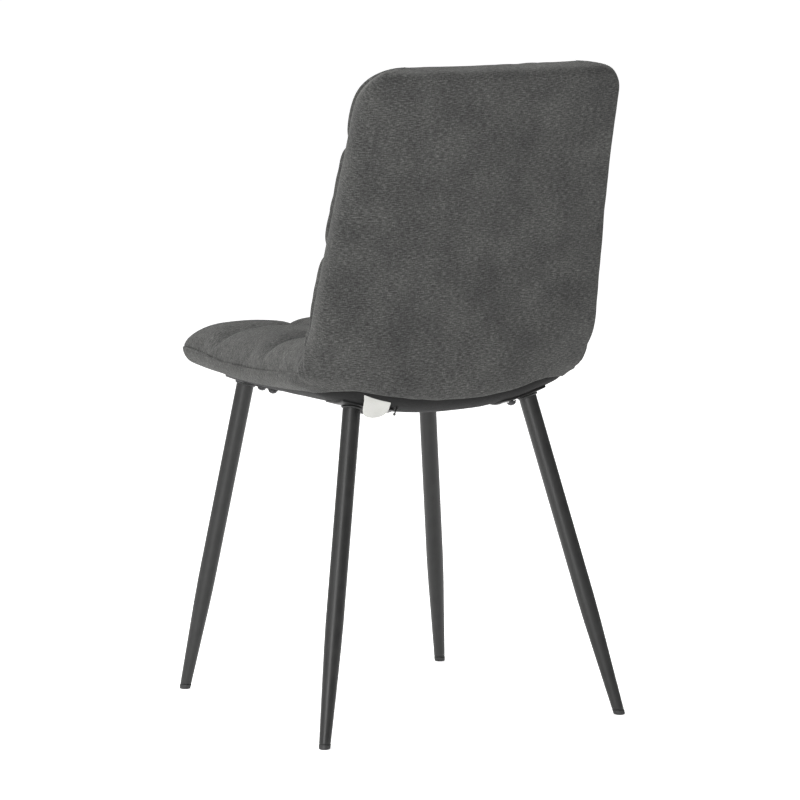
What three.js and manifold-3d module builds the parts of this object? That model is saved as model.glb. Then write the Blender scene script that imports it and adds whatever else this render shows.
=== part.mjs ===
// Upholstered dining chair: a one-piece bent shell with a quilted front, a plain
// back and four splayed round steel legs. Millimetres, +Z up, the sitter faces -Y
// and +X is the sitter's left. The origin is at floor level, in the middle of the
// chair's overall box.
import * as THREE from 'three';
import { mergeVertices } from 'three/addons/utils/BufferGeometryUtils.js';
import Module from 'manifold-3d';

// ---------- driving dimensions ----------
const GAP = 0.3;             // air between pieces that touch
const SKIN_GAP = 1;          // and between the layers that follow the curved shell

// shell: moulded plywood, seat and back in one bent piece
const PLY_T = 10;            // plywood thickness
const SEAT_Z = 426;          // middle of the plywood on the centre line of the seat
const SEAT_RUN = 330;        // straight run of the seat, front edge to bend
const BEND_R = 55;           // radius of the bend between seat and back
const BACK_RUN = 401;        // length of the back above the bend
const LEAN_LOW = 11.5;       // lean of the back from vertical at the bend, degrees
const LEAN_TOP = 18.5;       // and at its top edge
const HALF_W_SEAT = 213;     // half width of the upholstered seat
const HALF_W_LOW = 215;      // half width of the back just above the seat
const HALF_W_TOP = 195.5;    // half width of the back near its top
const CORNER_TOP = 40;       // corner radius at the top of the back
const CORNER_FRONT = 40;     // corner radius at the front of the seat
const DISH_FRONT = 50;       // how far the shell's sides rise at the front corners
const DISH_SEAT = 40;        // along the seat
const DISH_BEND = 46;        // and in the bend, measured square to the shell
const DISH_BACK = 20;        // how far the sides of the back come forward
const DISH_POW = 2.2;        // shape of that curve across the chair
const CROWN = 5;             // how much higher the back runs on its centre line

// upholstery
const OVER_FRONT = 24;       // padding past the plywood at the front edge
const OVER_TOP = 15;         // and at the top edge
const OVER_SIDE = 17;        // and at both sides
const SEAT_PAD_T = 76;       // seat foam on the centre line
const BACK_PAD_T = 28;       // back foam on the centre line
const REAR_T = 9;            // padded rear cover
const HEM_AT = 0.57;         // where the rear cover ends, as a share of the bend
const HEM_RISE = 24;         // how much higher it ends at the sides
const HEM_GAP = 2;           // between that end and the lining's
const EDGE_SEAT = 22;        // rounding of the padded edges, seat
const EDGE_BACK = 26;        // and back
const LINING_T = 3;          // black lining under the seat
const CREASE_UP = 22;        // height of the seat-to-back crease above the bend

// legs: round tube, straight, tapered at the foot
const LEG_D = 24, LEG_WALL = 1.5;
const LEG_FOOT_D = 15;       // outside diameter at the floor
const TAPER_Z = 142;         // height at which the taper starts
const REAR_FOOT = [226.6, 223.6], REAR_SPLAY = [0.2141, 0.2147];
const FRONT_FOOT = [205.2, -222.8], FRONT_SPLAY = [0.1443, -0.1563];
const PLATE_T = 3;           // welded mounting plate
const PLATE_HALF = [36, 27]; // half size of the plate, across and along the chair
const PLATE_SHIFT = [16, 8]; // plate centre, inward from the leg
const GLIDE_Z = 7;           // height of the plastic foot glide
const GLIDE_PLUG = 12;       // length of its plug inside the tube

// fasteners: M6 button-head bolts, washers and T-nuts, two at each leg
const BOLT_D = 6, HEAD_D = 11.5, HEAD_H = 4.2, WASHER_D = 14, WASHER_T = 1.4;
const NUT_BARREL = 8, NUT_FLANGE = 18, NUT_FLANGE_T = 1.5;
const BOLT_SPREAD = 16;      // bolts, each way from the middle of their line
const BOLT_INSET = 34;       // that line, inward from the leg

// blank label sewn into the rear hem, and the tie that holds its corner
const TAG_X = 117, TAG_W = 40, TAG_DROP = 21, TAG_TUCK = 7, TAG_T = 0.8;
const TIE_D = 2;

// facets round a tube and round a fastener
const ROUND = 20, SMALL_ROUND = 12;

// ---------- materials ----------
const mat = (hex, roughness, metalness = 0) =>
  new THREE.MeshStandardMaterial({ color: hex, roughness, metalness });
const MAT = {
  fabric: mat(0x5a5b59, 0.95),
  ply: mat(0xb98f5e, 0.6),
  lining: mat(0x1c1c1c, 0.95),
  steel: mat(0x262626, 0.45, 0.4),
  plastic: mat(0x141414, 0.6),
  zinc: mat(0x1d1d1e, 0.4, 0.7),
  tag: mat(0xeeeeea, 0.85),
};

// ---------- solids ----------
const wasm = await Module();
wasm.setup();

function toSolid(geometry) {
  const g = geometry.clone();
  g.deleteAttribute('normal');
  g.deleteAttribute('uv');
  const m = mergeVertices(g, 1e-5);
  return new wasm.Manifold(new wasm.Mesh({
    numProp: 3,
    vertProperties: new Float32Array(m.attributes.position.array),
    triVerts: new Uint32Array(m.index.array),
  }));
}

function toGeometry(solid) {
  const m = solid.getMesh();
  const g = new THREE.BufferGeometry();
  g.setAttribute('position', new THREE.BufferAttribute(new Float32Array(m.vertProperties), 3));
  g.setIndex(new THREE.BufferAttribute(new Uint32Array(m.triVerts), 1));
  g.computeVertexNormals();
  return g;
}

const cut = (geometry, tools) =>
  toGeometry(tools.reduce((s, t) => s.subtract(toSolid(t)), toSolid(geometry)));

const group = new THREE.Group();

function add(name, geometry, material) {
  const mesh = new THREE.Mesh(geometry, material);
  mesh.name = name;
  group.add(mesh);
  return mesh;
}

// ---------- the shell's middle surface ----------
const rad = (deg) => (deg * Math.PI) / 180;
const BEND_ANGLE = rad(90 - LEAN_LOW);
const BEND_RUN = BEND_R * BEND_ANGLE;
const LENGTH = SEAT_RUN + BEND_RUN + BACK_RUN;
const SEAT_Y0 = -205;        // front edge of the plywood

// point and heading of the centre line, s measured from the plywood's front edge
function profile(s) {
  if (s <= SEAT_RUN) return { y: SEAT_Y0 + s, z: SEAT_Z, a: 0 };
  const a = Math.min((s - SEAT_RUN) / BEND_R, BEND_ANGLE);
  let y = SEAT_Y0 + SEAT_RUN + BEND_R * Math.sin(a);
  let z = SEAT_Z + BEND_R * (1 - Math.cos(a));
  if (s <= SEAT_RUN + BEND_RUN) return { y, z, a };
  const run = s - SEAT_RUN - BEND_RUN;
  const steps = 24;
  let heading = BEND_ANGLE;
  for (let i = 0; i < steps; i++) {
    const t = ((i + 0.5) / steps) * (run / BACK_RUN);
    heading = rad(90 - (LEAN_LOW + (LEAN_TOP - LEAN_LOW) * t));
    y += (Math.cos(heading) * run) / steps;
    z += (Math.sin(heading) * run) / steps;
  }
  return { y, z, a: heading };
}

const smooth = (a, b, x) => {
  const t = Math.min(Math.max((x - a) / (b - a), 0), 1);
  return t * t * (3 - 2 * t);
};

// half width of the upholstery along the shell, to its straight sides
function sideHalf(s) {
  const back = smooth(SEAT_RUN, SEAT_RUN + BEND_RUN, s);
  const up = Math.max((s - SEAT_RUN - BEND_RUN) / BACK_RUN, 0);
  const w = HALF_W_SEAT + (HALF_W_LOW - HALF_W_SEAT) * back;
  return w + (HALF_W_TOP - HALF_W_LOW) * smooth(0, 0.95, up);
}

// and with its rounded corners
function halfWidth(s, over) {
  let w = sideHalf(s);
  const corner = (r, d) => (d >= r ? 0 : r - Math.sqrt(Math.max(r * r - (r - d) ** 2, 0)));
  w -= corner(CORNER_FRONT, s + over[0]);
  w -= corner(CORNER_TOP, LENGTH + over[1] - s);
  return w;
}

function dish(x, s) {
  let depth = DISH_FRONT + (DISH_SEAT - DISH_FRONT) * smooth(0, SEAT_RUN * 0.4, s);
  depth += (DISH_BEND - DISH_SEAT) * smooth(SEAT_RUN * 0.55, SEAT_RUN + BEND_RUN * 0.5, s);
  depth += (DISH_BACK - DISH_BEND) * smooth(SEAT_RUN + BEND_RUN * 0.6, SEAT_RUN + BEND_RUN + 150, s);
  return depth * Math.pow(Math.abs(x) / sideHalf(s), DISH_POW);
}

// point at height t above the middle surface, towards the sitter
function onShell(x, s, t) {
  const up = smooth(SEAT_RUN + BEND_RUN, LENGTH, s);
  const p = profile(s + CROWN * up * (1 - (x / HALF_W_TOP) ** 2));
  const h = dish(x, s) + t;
  return new THREE.Vector3(x, p.y - Math.sin(p.a) * h, p.z + Math.cos(p.a) * h);
}

// closed slab: rows along s, columns across, between two surfaces given as points
function loft(rows, columns, low, high) {
  const n = rows.length;
  const m = columns(rows[0]).length;
  const pos = [];
  for (const side of [high, low]) {
    for (const s of rows) {
      for (const x of columns(s)) pos.push(...side(x, s).toArray());
    }
  }
  const at = (side, i, j) => side * n * m + i * m + j;
  const index = [];
  const quad = (a, b, c, d) => index.push(a, b, c, a, c, d);
  for (let i = 0; i < n - 1; i++) {
    for (let j = 0; j < m - 1; j++) {
      quad(at(0, i, j), at(0, i, j + 1), at(0, i + 1, j + 1), at(0, i + 1, j));
      quad(at(1, i, j), at(1, i + 1, j), at(1, i + 1, j + 1), at(1, i, j + 1));
    }
    quad(at(0, i, m - 1), at(1, i, m - 1), at(1, i + 1, m - 1), at(0, i + 1, m - 1));
    quad(at(0, i, 0), at(0, i + 1, 0), at(1, i + 1, 0), at(1, i, 0));
  }
  for (let j = 0; j < m - 1; j++) {
    quad(at(0, 0, j), at(1, 0, j), at(1, 0, j + 1), at(0, 0, j + 1));
    quad(at(0, n - 1, j), at(0, n - 1, j + 1), at(1, n - 1, j + 1), at(1, n - 1, j));
  }
  const g = new THREE.BufferGeometry();
  g.setAttribute('position', new THREE.BufferAttribute(new Float32Array(pos), 3));
  g.setIndex(index);
  return g;
}

// the same between two heights over the shell
const slab = (rows, columns, low, high) =>
  loft(rows, columns, (x, s) => onShell(x, s, low(x, s)), (x, s) => onShell(x, s, high(x, s)));

const spread = (a, b, n) => Array.from({ length: n + 1 }, (_, i) => a + ((b - a) * i) / n);
const mirror = (list) => [...list.map((v) => -v), ...list.slice(0, -1).reverse()];

// ---------- plywood shell ----------
const OVER = [OVER_FRONT, OVER_TOP];
const plyHalf = (s) => halfWidth(s, OVER) - OVER_SIDE;
const backRun = [...spread(SEAT_RUN + BEND_RUN, LENGTH - 40, 11).slice(1), LENGTH - 22, LENGTH - 8];
const CREASE = SEAT_RUN + BEND_RUN * 0.5;          // where the two pads part, on the plywood
const seatRun = [...spread(30, SEAT_RUN, 6), ...spread(SEAT_RUN, CREASE, 3).slice(1, 3)];
const bendRun = spread(CREASE, SEAT_RUN + BEND_RUN, 3).slice(1);
const plyRows = [0, 6, 16, ...seatRun, CREASE, ...bendRun, ...backRun, LENGTH - 3, LENGTH];
// where the facets of every layer fall across the chair, as shares of its half width
const ACROSS = [1, 0.9, 0.77, 0.6, 0.4, 0.2, 0];
const plyColumns = (s) => mirror(ACROSS.map((f) => f * plyHalf(s)));
const ply = slab(plyRows, plyColumns, () => -PLY_T / 2, () => PLY_T / 2);

// ---------- seat and back padding ----------
// the padding wraps past the plywood: beyond its edge the underside drops
const CREASE_TOP = SEAT_RUN + BEND_RUN + CREASE_UP; // the crease, on the face of the back
const rounding = (r, d) => (d >= r ? 0 : r - Math.sqrt(r ** 2 - (r - Math.max(d, 0)) ** 2));
// both pads have the same outline where they part
const padHalf = (s) => halfWidth(Math.abs(s - CREASE) < 2 * GAP ? CREASE : s, OVER);
const padColumns = (s) => {
  const w = padHalf(s);
  const ply = w - OVER_SIDE;
  return mirror([w, w - 1.5, w - 5, w - 11, ply + 1.4, ply + 0.8,
    ...ACROSS.slice(1).map((f) => f * ply)]);
};
function edgeDrop(x, s) {
  const r = EDGE_SEAT + (EDGE_BACK - EDGE_SEAT) * smooth(CREASE, CREASE + 60, s);
  return rounding(r, padHalf(s) - Math.abs(x)) +
    rounding(r, Math.min(s + OVER_FRONT, LENGTH + OVER_TOP - s));
}
function padLow(x, s) {
  const overPly = Math.abs(x) < padHalf(s) - OVER_SIDE + 1 && s > -1 && s < LENGTH + 1;
  return onShell(x, s, overPly ? PLY_T / 2 + SKIN_GAP : SKIN_GAP - PLY_T / 2);
}
const backFace = (x, s, drop) => onShell(x, s, PLY_T / 2 + BACK_PAD_T - drop);
// the seat's top is level across and meets the back along one crease
function seatTop(x, s) {
  const end = backFace(x, CREASE_TOP, edgeDrop(x, CREASE));
  const y = SEAT_Y0 + (s < 0 ? s : (s * (end.y - GAP - SEAT_Y0)) / CREASE);
  const level = SEAT_Z + PLY_T / 2 + SEAT_PAD_T - edgeDrop(x, s);
  const z = level + (end.z - GAP - level) * smooth(CREASE - 70, CREASE, s);
  return new THREE.Vector3(x, y, z);
}
function backTop(x, s) {
  const t = (s - CREASE) / (LENGTH - CREASE);
  const onFace = s > LENGTH ? s : CREASE_TOP + t * (LENGTH - CREASE_TOP);
  return backFace(x, onFace, edgeDrop(x, s));
}
const seatRows = [-OVER_FRONT, -OVER_FRONT + 2, -OVER_FRONT + 7, -12, -1.6, -0.9, 6, 16,
  ...seatRun, CREASE - GAP];
const backRows = [CREASE + GAP, ...bendRun, ...backRun,
  LENGTH + 0.9, LENGTH + 1.6, LENGTH + OVER_TOP - 7, LENGTH + OVER_TOP - 2, LENGTH + OVER_TOP];
add('seat_pad', loft(seatRows, padColumns, padLow, seatTop), MAT.fabric);
add('back_pad', loft(backRows, padColumns, padLow, backTop), MAT.fabric);

// ---------- rear cover ----------
const HEM = SEAT_RUN + BEND_RUN * HEM_AT;
const rearColumns = (s) => {
  const w = halfWidth(s, OVER) - 2;
  return mirror([w, w - 6, w - 16, ...ACROSS.slice(2).map((f) => f * w)]);
};
const rearLow = (x, s) => {
  const d = halfWidth(s, OVER) - 2 - Math.abs(x);
  const ends = Math.min(LENGTH + OVER_TOP - 2 - s, d);
  const thin = smooth(HEM, HEM + 30, s);
  const full = 4 + (REAR_T - 4) * thin;
  return -PLY_T / 2 - SKIN_GAP - 1 - (full - 1) * Math.sqrt(1 - (1 - Math.min(ends / 16, 1)) ** 2);
};
const rearRows = [...spread(HEM, SEAT_RUN + BEND_RUN, 7), ...backRun, LENGTH + 5, LENGTH + OVER_TOP - 2];
const hemLift = (x) => HEM_RISE * (x / HALF_W_LOW) ** 2;
const onRear = (x, s, t) => onShell(x, s + hemLift(x) * (1 - smooth(HEM, HEM + 120, s)), t);
add('rear_cover', loft(rearRows, rearColumns, (x, s) => onRear(x, s, rearLow(x, s)),
  (x, s) => onRear(x, s, -PLY_T / 2 - SKIN_GAP)), MAT.fabric);

// ---------- lining under the seat ----------
const liningColumns = (s) => {
  const w = halfWidth(s, OVER) - 9;
  return mirror(ACROSS.map((f) => f * w));
};
const liningRows = [-OVER_FRONT + 8, -OVER_FRONT + 14, 0, 14, ...spread(40, SEAT_RUN, 5),
  ...spread(SEAT_RUN, HEM - HEM_GAP, 4).slice(1)];
const onUnder = (x, s, t) => onShell(x, s + hemLift(x) * smooth(SEAT_RUN, HEM, s), t);
const lining = loft(liningRows, liningColumns,
  (x, s) => onUnder(x, s, -PLY_T / 2 - SKIN_GAP - LINING_T),
  (x, s) => onUnder(x, s, -PLY_T / 2 - SKIN_GAP));

// ---------- legs, plates, glides and fasteners ----------
// s of a point under the seat
const sAt = (y) => {
  const past = y - SEAT_Y0 - SEAT_RUN;
  return SEAT_RUN + (past < 0 ? past : BEND_R * Math.asin(Math.min(past / BEND_R, 1)));
};
const UNDER = -PLY_T / 2 - LINING_T - 2 * SKIN_GAP; // top of the mounting plates
const plateLow = UNDER - PLATE_T;

// slab that follows the shell under a plate; extra is how many facets it runs past it
function patch(cx, cy, low, high, extra = 0) {
  const line = (c, half, n) => {
    const step = (2 * half) / n;
    return spread(c - half - extra * step, c + half + extra * step, n + 2 * extra);
  };
  return slab(line(sAt(cy), PLATE_HALF[1], 8), () => line(cx, PLATE_HALF[0], 6),
    () => low, () => high);
}

// frame with +Z along the shell's normal at a point under the seat
function normalFrame(x, y, t) {
  const e = 0.5;
  const p = onShell(x, sAt(y), t);
  const across = onShell(x + e, sAt(y), t).sub(onShell(x - e, sAt(y), t)).normalize();
  const along = onShell(x, sAt(y) + e, t).sub(onShell(x, sAt(y) - e, t)).normalize();
  const up = across.clone().cross(along).normalize();
  return new THREE.Matrix4().makeBasis(across, along, up).setPosition(p);
}

// turned solid from a list of [radius, height] points, axis along +Z
function turned(points, segments) {
  const g = new THREE.LatheGeometry(points.map(([r, h]) => new THREE.Vector2(r, h)), segments);
  return g.rotateX(Math.PI / 2);
}
const cylinder = (r, h0, h1, segments = SMALL_ROUND) =>
  turned([[0, h0], [r, h0], [r, h1], [0, h1]], segments);

const plyTools = [];
const liningTools = [];

function fastener(tag, x, y) {
  const frame = normalFrame(x, y, 0);
  const put = (g) => g.applyMatrix4(frame);
  const seat = plateLow - GAP;                       // top of the washer
  const head = seat - WASHER_T - GAP;
  const top = PLY_T / 2;
  const hole = BOLT_D / 2 + GAP;
  add(`bolt_${tag}`, put(turned([[0, head - HEAD_H], [HEAD_D * 0.36, head - HEAD_H],
    [HEAD_D * 0.47, head - HEAD_H * 0.55], [HEAD_D / 2, head], [BOLT_D / 2, head],
    [BOLT_D / 2, top - 2], [0, top - 2]], SMALL_ROUND)), MAT.zinc);
  add(`washer_${tag}`, put(turned([[hole, seat - WASHER_T], [WASHER_D / 2, seat - WASHER_T],
    [WASHER_D / 2, seat], [hole, seat], [hole, seat - WASHER_T]], SMALL_ROUND)), MAT.zinc);
  const flange = top - NUT_FLANGE_T - 0.5;
  add(`tnut_${tag}`, put(turned([[hole, -PLY_T / 2 + 1], [NUT_BARREL / 2, -PLY_T / 2 + 1],
    [NUT_BARREL / 2, flange], [NUT_FLANGE / 2, flange], [NUT_FLANGE / 2, top - 0.5],
    [hole, top - 0.5], [hole, -PLY_T / 2 + 1]], SMALL_ROUND)), MAT.zinc);
  plyTools.push(put(turned([[0, -PLY_T], [NUT_BARREL / 2 + GAP, -PLY_T],
    [NUT_BARREL / 2 + GAP, flange - GAP], [NUT_FLANGE / 2 + GAP, flange - GAP],
    [NUT_FLANGE / 2 + GAP, PLY_T], [0, PLY_T]], SMALL_ROUND)));
  const through = put(cylinder(hole, -PLY_T * 2, PLY_T));
  liningTools.push(through);
  return through;
}

function leg(tag, foot, splay) {
  const side = Math.sign(foot[0]);
  const end = Math.sign(foot[1]);
  const dir = new THREE.Vector3(-splay[0] * side, -splay[1], 1).normalize();
  const base = new THREE.Vector3(foot[0], foot[1], 0);
  const turn = new THREE.Matrix4().makeRotationFromQuaternion(
    new THREE.Quaternion().setFromUnitVectors(new THREE.Vector3(0, 0, 1), dir));
  turn.setPosition(base);
  const topX = foot[0] - splay[0] * side * SEAT_Z;
  const topY = foot[1] - splay[1] * SEAT_Z;

  // plate that follows the curve of the shell, with its bolts inward of the leg
  const cx = topX - side * PLATE_SHIFT[0];
  const cy = topY - end * PLATE_SHIFT[1];
  const bx = topX - side * BOLT_INSET;
  const holes = [-1, 1].map((k) =>
    fastener(`${tag}_${k === end ? 'outer' : 'inner'}`, bx, cy + k * BOLT_SPREAD));
  add(`leg_plate_${tag}`, cut(patch(cx, cy, plateLow, UNDER), holes), MAT.steel);

  // tube: cut off under the plate and above the glide
  const r = LEG_D / 2, f = LEG_FOOT_D / 2, taper = TAPER_Z / dir.z;
  const high = (SEAT_Z + 30) / dir.z;
  const fIn = f - LEG_WALL, rIn = r - LEG_WALL;
  const tube = turned([[fIn, 0], [f, 0], [r, taper], [r, high], [rIn, high], [rIn, taper],
    [fIn, 0]], ROUND).applyMatrix4(turn);
  const over = patch(cx, cy, plateLow - GAP, BEND_R - 12, 3);
  const floor = new THREE.BoxGeometry(80, 80, 60).translate(foot[0], foot[1], GLIDE_Z - 30);
  add(`leg_${tag}`, cut(tube, [over, floor]), MAT.steel);

  // glide: flat on the floor, with a plug inside the tube
  const wallAt = (h) => f + ((r - f) * h) / taper - LEG_WALL;
  const plug = cylinder(f, -12, GLIDE_Z + 12, ROUND).applyMatrix4(turn);
  const cap = cut(plug, [
    new THREE.BoxGeometry(80, 80, 60).translate(foot[0], foot[1], -30),
    new THREE.BoxGeometry(80, 80, 60).translate(foot[0], foot[1], GLIDE_Z - GAP + 30)]);
  const h0 = GLIDE_Z - 3, h1 = GLIDE_Z + GLIDE_PLUG;
  const stem = cylinder(wallAt(h0) - GAP, h0, h1, ROUND).applyMatrix4(turn);
  add(`glide_${tag}`, toGeometry(toSolid(cap).add(toSolid(stem))), MAT.plastic);
}
leg('rear_left', REAR_FOOT, REAR_SPLAY);
leg('rear_right', [-REAR_FOOT[0], REAR_FOOT[1]], REAR_SPLAY);
leg('front_left', FRONT_FOOT, FRONT_SPLAY);
leg('front_right', [-FRONT_FOOT[0], FRONT_FOOT[1]], FRONT_SPLAY);

add('shell_ply', cut(ply, plyTools), MAT.ply);
add('under_lining', cut(lining, liningTools), MAT.lining);

// ---------- label ----------
// it follows the rear cover for a short way, then hangs straight down
const tagRows = [-TAG_TUCK, -TAG_TUCK / 2,
  ...[0, 0.2, 0.48, 0.68, 0.84, 0.95, 1].map((f) => f * TAG_DROP)];
const tagColumns = (v) => {
  const k = Math.min(Math.max((v - TAG_DROP * 0.45) / (TAG_DROP * 0.55), 0), 1);
  const half = (TAG_W / 2) * (1 - 0.72 * k * k);
  return spread(-half, half, 4).map((x) => TAG_X + x);
};
const hemT = rearLow(TAG_X, HEM) - 1.4;
function tagPoint(v, t) {
  if (v <= 0) return (x) => onRear(x, HEM - v, rearLow(x, HEM - v) - 1.4 - t);
  return (x) => onRear(x, HEM, hemT - t).add(new THREE.Vector3(0, 0, -v));
}
add('label', loft(tagRows, tagColumns, (x, v) => tagPoint(v, 0)(x),
  (x, v) => tagPoint(v, TAG_T)(x)), MAT.tag);

const tieTop = onShell(80, HEM - 14, -PLY_T / 2 - LINING_T - SKIN_GAP - 1.2);
const tieEnd = onRear(TAG_X - TAG_W / 2 - 4, HEM, hemT).add(new THREE.Vector3(0, 1, -20));
const tieLength = tieTop.distanceTo(tieEnd);
const tie = turned([[0, 0], [TIE_D * 0.9, 0], [TIE_D * 0.9, 1.6], [TIE_D / 2, 1.8],
  [TIE_D / 2, tieLength], [0, tieLength]], SMALL_ROUND);
const tieTurn = new THREE.Quaternion().setFromUnitVectors(
  new THREE.Vector3(0, 0, 1), tieTop.clone().sub(tieEnd).normalize());
const tieMesh = add('label_tie', tie, MAT.plastic);
tieMesh.quaternion.copy(tieTurn);
tieMesh.position.copy(tieEnd);

// origin in the middle of the overall box
const box = new THREE.Box3().setFromObject(group, true);
group.position.set(0, -(box.min.y + box.max.y) / 2, -box.min.z);

export default group;
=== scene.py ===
import math

import bmesh
import bpy
import numpy as np
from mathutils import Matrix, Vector


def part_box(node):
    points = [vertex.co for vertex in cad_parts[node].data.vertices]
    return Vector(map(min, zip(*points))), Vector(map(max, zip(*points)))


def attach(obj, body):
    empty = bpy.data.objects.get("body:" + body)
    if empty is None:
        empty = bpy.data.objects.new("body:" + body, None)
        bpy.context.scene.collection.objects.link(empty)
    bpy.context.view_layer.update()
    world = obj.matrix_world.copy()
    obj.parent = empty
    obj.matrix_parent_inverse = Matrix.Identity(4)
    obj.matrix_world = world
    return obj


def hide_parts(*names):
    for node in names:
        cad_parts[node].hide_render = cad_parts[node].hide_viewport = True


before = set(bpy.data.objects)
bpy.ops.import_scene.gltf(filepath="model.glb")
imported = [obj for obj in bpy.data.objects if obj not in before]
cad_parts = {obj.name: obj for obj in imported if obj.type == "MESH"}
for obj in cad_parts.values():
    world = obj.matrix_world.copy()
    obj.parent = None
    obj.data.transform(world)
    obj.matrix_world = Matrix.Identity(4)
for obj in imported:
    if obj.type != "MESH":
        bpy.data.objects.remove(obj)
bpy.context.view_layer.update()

# ---------------------------------------------------------------- sizes, in millimetres
# most are the CAD model's own; HALF_W_TOP, CORNER_FRONT, OVER_TOP and TAG_TUCK differ from it
PLY_T, SEAT_Z, SEAT_RUN, BEND_R, BACK_RUN = 10.0, 426.0, 330.0, 55.0, 401.0
LEAN_LOW, LEAN_TOP = 11.5, 18.5
HALF_W_SEAT, HALF_W_LOW, HALF_W_TOP = 213.0, 215.0, 193.5
CORNER_FRONT = 30.0
CORNER_TOP_REAR, CORNER_TOP_SEAM = 40.0, 66.0
TILT = 2.5              # how much the sewn top edge runs out of level
DISH_FRONT, DISH_SEAT, DISH_BEND, DISH_BACK, DISH_POW = 50.0, 40.0, 46.0, 20.0, 2.2
CROWN = 5.0
OVER_FRONT, OVER_TOP = 24.0, 17.0
SEAT_PAD_T, BACK_PAD_T, CREASE_UP = 76.0, 28.0, 22.0
HEM_AT, HEM_RISE, LINING_T, SKIN_GAP = 0.57, 24.0, 3.0, 1.0
LEG_D, LEG_FOOT_D, TAPER_Z, GLIDE_Z = 24.0, 15.0, 142.0, 7.0
REAR_FOOT, REAR_SPLAY = (226.6, 223.6), (0.2141, 0.2147)
FRONT_FOOT, FRONT_SPLAY = (205.2, -222.8), (0.1443, -0.1563)
PLATE_T, PLATE_SHIFT = 3.0, 8.0
BOLT_SPREAD, BOLT_INSET, BOLT_D = 16.0, 34.0, 6.0
HEAD_D, HEAD_H, WASHER_D, WASHER_T = 11.5, 4.2, 14.0, 1.4
TAG_X, TAG_W, TAG_DROP, TAG_TUCK = 117.0, 40.0, 21.0, 11.0

SEAT_Y0 = -205.0         # front edge of the plywood; the shift brings it to the CAD node's own
Y_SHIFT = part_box("shell_ply")[0][1] * 1000 - SEAT_Y0

BEND_ANGLE = math.radians(90 - LEAN_LOW)
BEND_RUN = BEND_R * BEND_ANGLE
BEND_END = SEAT_RUN + BEND_RUN
LENGTH = BEND_END + BACK_RUN
CREASE_TOP = BEND_END + CREASE_UP
HEM = SEAT_RUN + BEND_RUN * HEM_AT


# ---------------------------------------------------------------- the shell's middle surface
def smooth(a, b, x):
    """0 below a, 1 above b, with an even ease between them."""
    t = np.clip((np.asarray(x, float) - a) / (b - a), 0, 1)
    return t * t * (3 - 2 * t)


RUN = np.linspace(0, BACK_RUN + 60, 462)
HEAD = np.radians(90 - (LEAN_LOW + (LEAN_TOP - LEAN_LOW) * RUN / BACK_RUN))
STEP = np.diff(RUN, prepend=0)
BACK_Y = SEAT_Y0 + SEAT_RUN + BEND_R * math.sin(BEND_ANGLE) + np.cumsum(np.cos(HEAD) * STEP)
BACK_Z = SEAT_Z + BEND_R * (1 - math.cos(BEND_ANGLE)) + np.cumsum(np.sin(HEAD) * STEP)


def profile(s):
    """Centre line of the shell: y, z and heading at length s from its front edge."""
    s = np.asarray(s, float)
    a = np.clip((s - SEAT_RUN) / BEND_R, 0, BEND_ANGLE)
    y = np.where(s <= SEAT_RUN, SEAT_Y0 + s, SEAT_Y0 + SEAT_RUN + BEND_R * np.sin(a))
    z = SEAT_Z + BEND_R * (1 - np.cos(a))
    run = s - BEND_END
    y = np.where(run > 0, np.interp(run, RUN, BACK_Y), y)
    z = np.where(run > 0, np.interp(run, RUN, BACK_Z), z)
    a = np.where(run > 0, np.interp(run, RUN, HEAD), a)
    return y, z, a


def side_half(s):
    """Half width of the shell at length s, without its rounded corners."""
    s = np.asarray(s, float)
    up = np.maximum((s - BEND_END) / BACK_RUN, 0)
    w = HALF_W_SEAT + (HALF_W_LOW - HALF_W_SEAT) * smooth(SEAT_RUN, BEND_END, s)
    return w + (HALF_W_TOP - HALF_W_LOW) * smooth(0, 0.95, up)


def half_width(s, top_radius=CORNER_TOP_SEAM):
    """Half width of the covers' outline, with its rounded corners."""
    def corner(r, d):
        d = np.clip(d, 0, r)
        return r - np.sqrt(np.maximum(r * r - (r - d) ** 2, 0))

    s = np.asarray(s, float)
    return side_half(s) - corner(CORNER_FRONT, s + OVER_FRONT) - \
        corner(top_radius, LENGTH + OVER_TOP - s)


def dish(x, s, fade):
    """How far the shell's sides curl up towards the sitter."""
    depth = DISH_FRONT + (DISH_SEAT - DISH_FRONT) * smooth(0, SEAT_RUN * 0.4, s)
    depth = depth + (DISH_BEND - DISH_SEAT) * smooth(SEAT_RUN * 0.55, SEAT_RUN + BEND_RUN * 0.5, s)
    depth = depth + (DISH_BACK - DISH_BEND) * smooth(SEAT_RUN + BEND_RUN * 0.6, BEND_END + fade, s)
    return depth * (np.abs(x) / side_half(s)) ** DISH_POW


def shell(x, s, t, fade=70):
    """Points at height t over the middle surface, towards the sitter, as an (..., 3) array."""
    x, s, t = np.broadcast_arrays(np.asarray(x, float), np.asarray(s, float), np.asarray(t, float))
    up = smooth(BEND_END, LENGTH, s)
    y, z, a = profile(s + up * (CROWN * (1 - (x / HALF_W_TOP) ** 2) - TILT * x / HALF_W_TOP))
    h = dish(x, s, fade) + t
    return np.stack([x, y - np.sin(a) * h, z + np.cos(a) * h], -1)


def hem_lift(x):
    """How much further up the hem under the back runs at x than in the middle."""
    return HEM_RISE * (np.asarray(x, float) / HALF_W_LOW) ** 2


# ---------------------------------------------------------------- mesh helpers
def place(points):
    """From this file's millimetres to the CAD frame's metres."""
    p = np.array(points, float)
    p[..., 1] += Y_SHIFT
    return p * 0.001


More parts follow.
